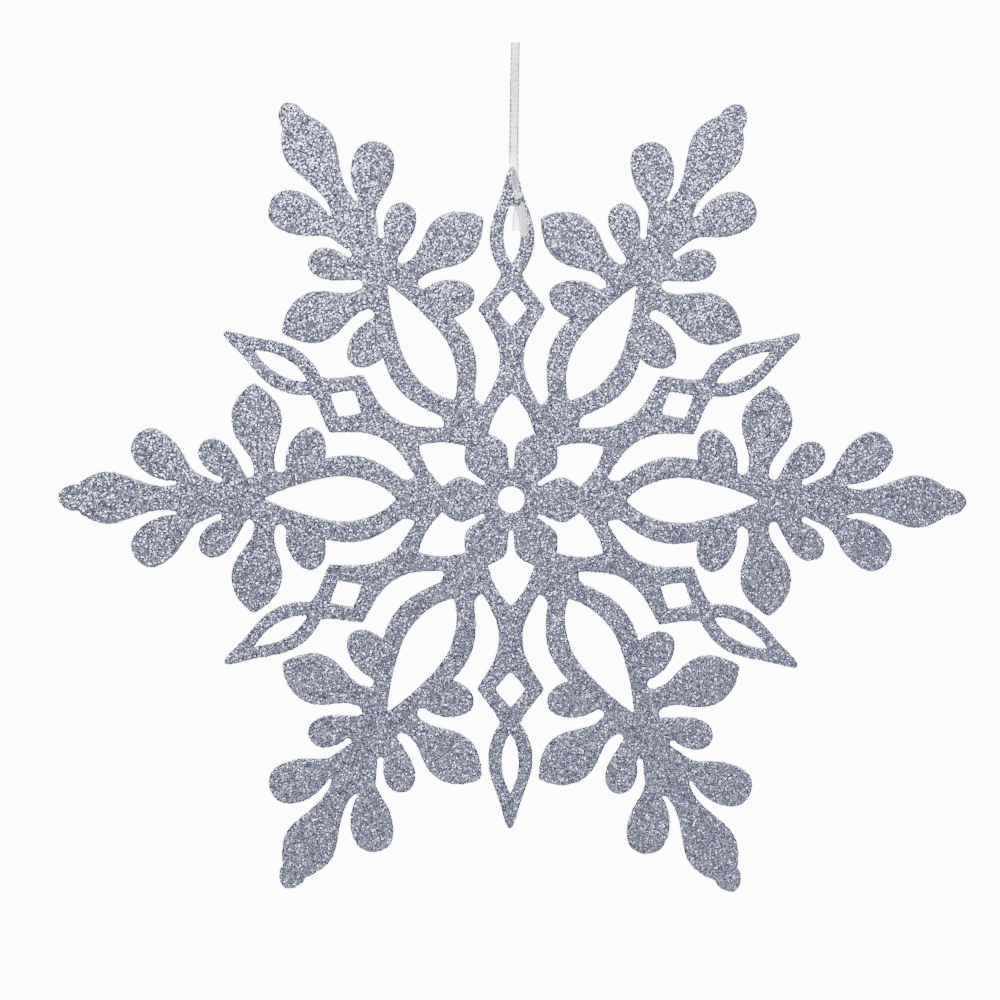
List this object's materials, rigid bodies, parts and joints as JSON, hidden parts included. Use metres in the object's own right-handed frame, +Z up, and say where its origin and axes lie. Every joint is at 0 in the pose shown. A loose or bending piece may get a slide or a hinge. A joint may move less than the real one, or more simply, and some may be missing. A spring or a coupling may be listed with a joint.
{
  "type": "glittered snowflake hanging decoration",
  "caption": "Flat die-cut snowflake star with pierced leafy arms, coated in silver glitter, hanging from a narrow sheer ribbon loop.",
  "frame": {"origin": "middle of the centre hole, halfway through the board", "axes": "+Z up along the hanging spike, +X to the viewer's right along a long arm, front face towards -Y"},
  "size_m": [0.3, 0.0061, 0.2803],
  "materials": {
    "board": "matt grey board",
    "glue": "dried clear glue",
    "glitter": "silver metallised flakes, fine hexagonal glitter with a cool lavender cast",
    "ribbon": "sheer white woven ribbon with silver thread at both edges"
  },
  "bodies": {
    "loop_top": {"ribbon_bight": "ribbon"},
    "ribbon_legs": {"ribbon_leg_front": "ribbon", "ribbon_leg_back": "ribbon"},
    "star": {"core_board": "board", "front_glue_film": "glue", "back_glue_film": "glue", "front_glitter_coat": "glitter", "back_glitter_coat": "glitter", "ribbon_front_turn": "ribbon", "ribbon_back_turn": "ribbon", "ribbon_knot": "ribbon", "ribbon_tail_short": "ribbon", "ribbon_tail_long": "ribbon"}
  },
  "joints": [
    {"name": "star_spin", "type": "hinge", "parent": "loop_top", "child": "ribbon_legs", "pos_m": [0.0012, 0, 0.146], "axis": [0, 0, 1], "range_deg": [-150, 150]},
    {"name": "star_tilt", "type": "hinge", "parent": "ribbon_legs", "child": "star", "pos_m": [0.0012, 0, 0.1115], "axis": [1, 0, 0], "range_deg": [-20, 20]}
  ]
}
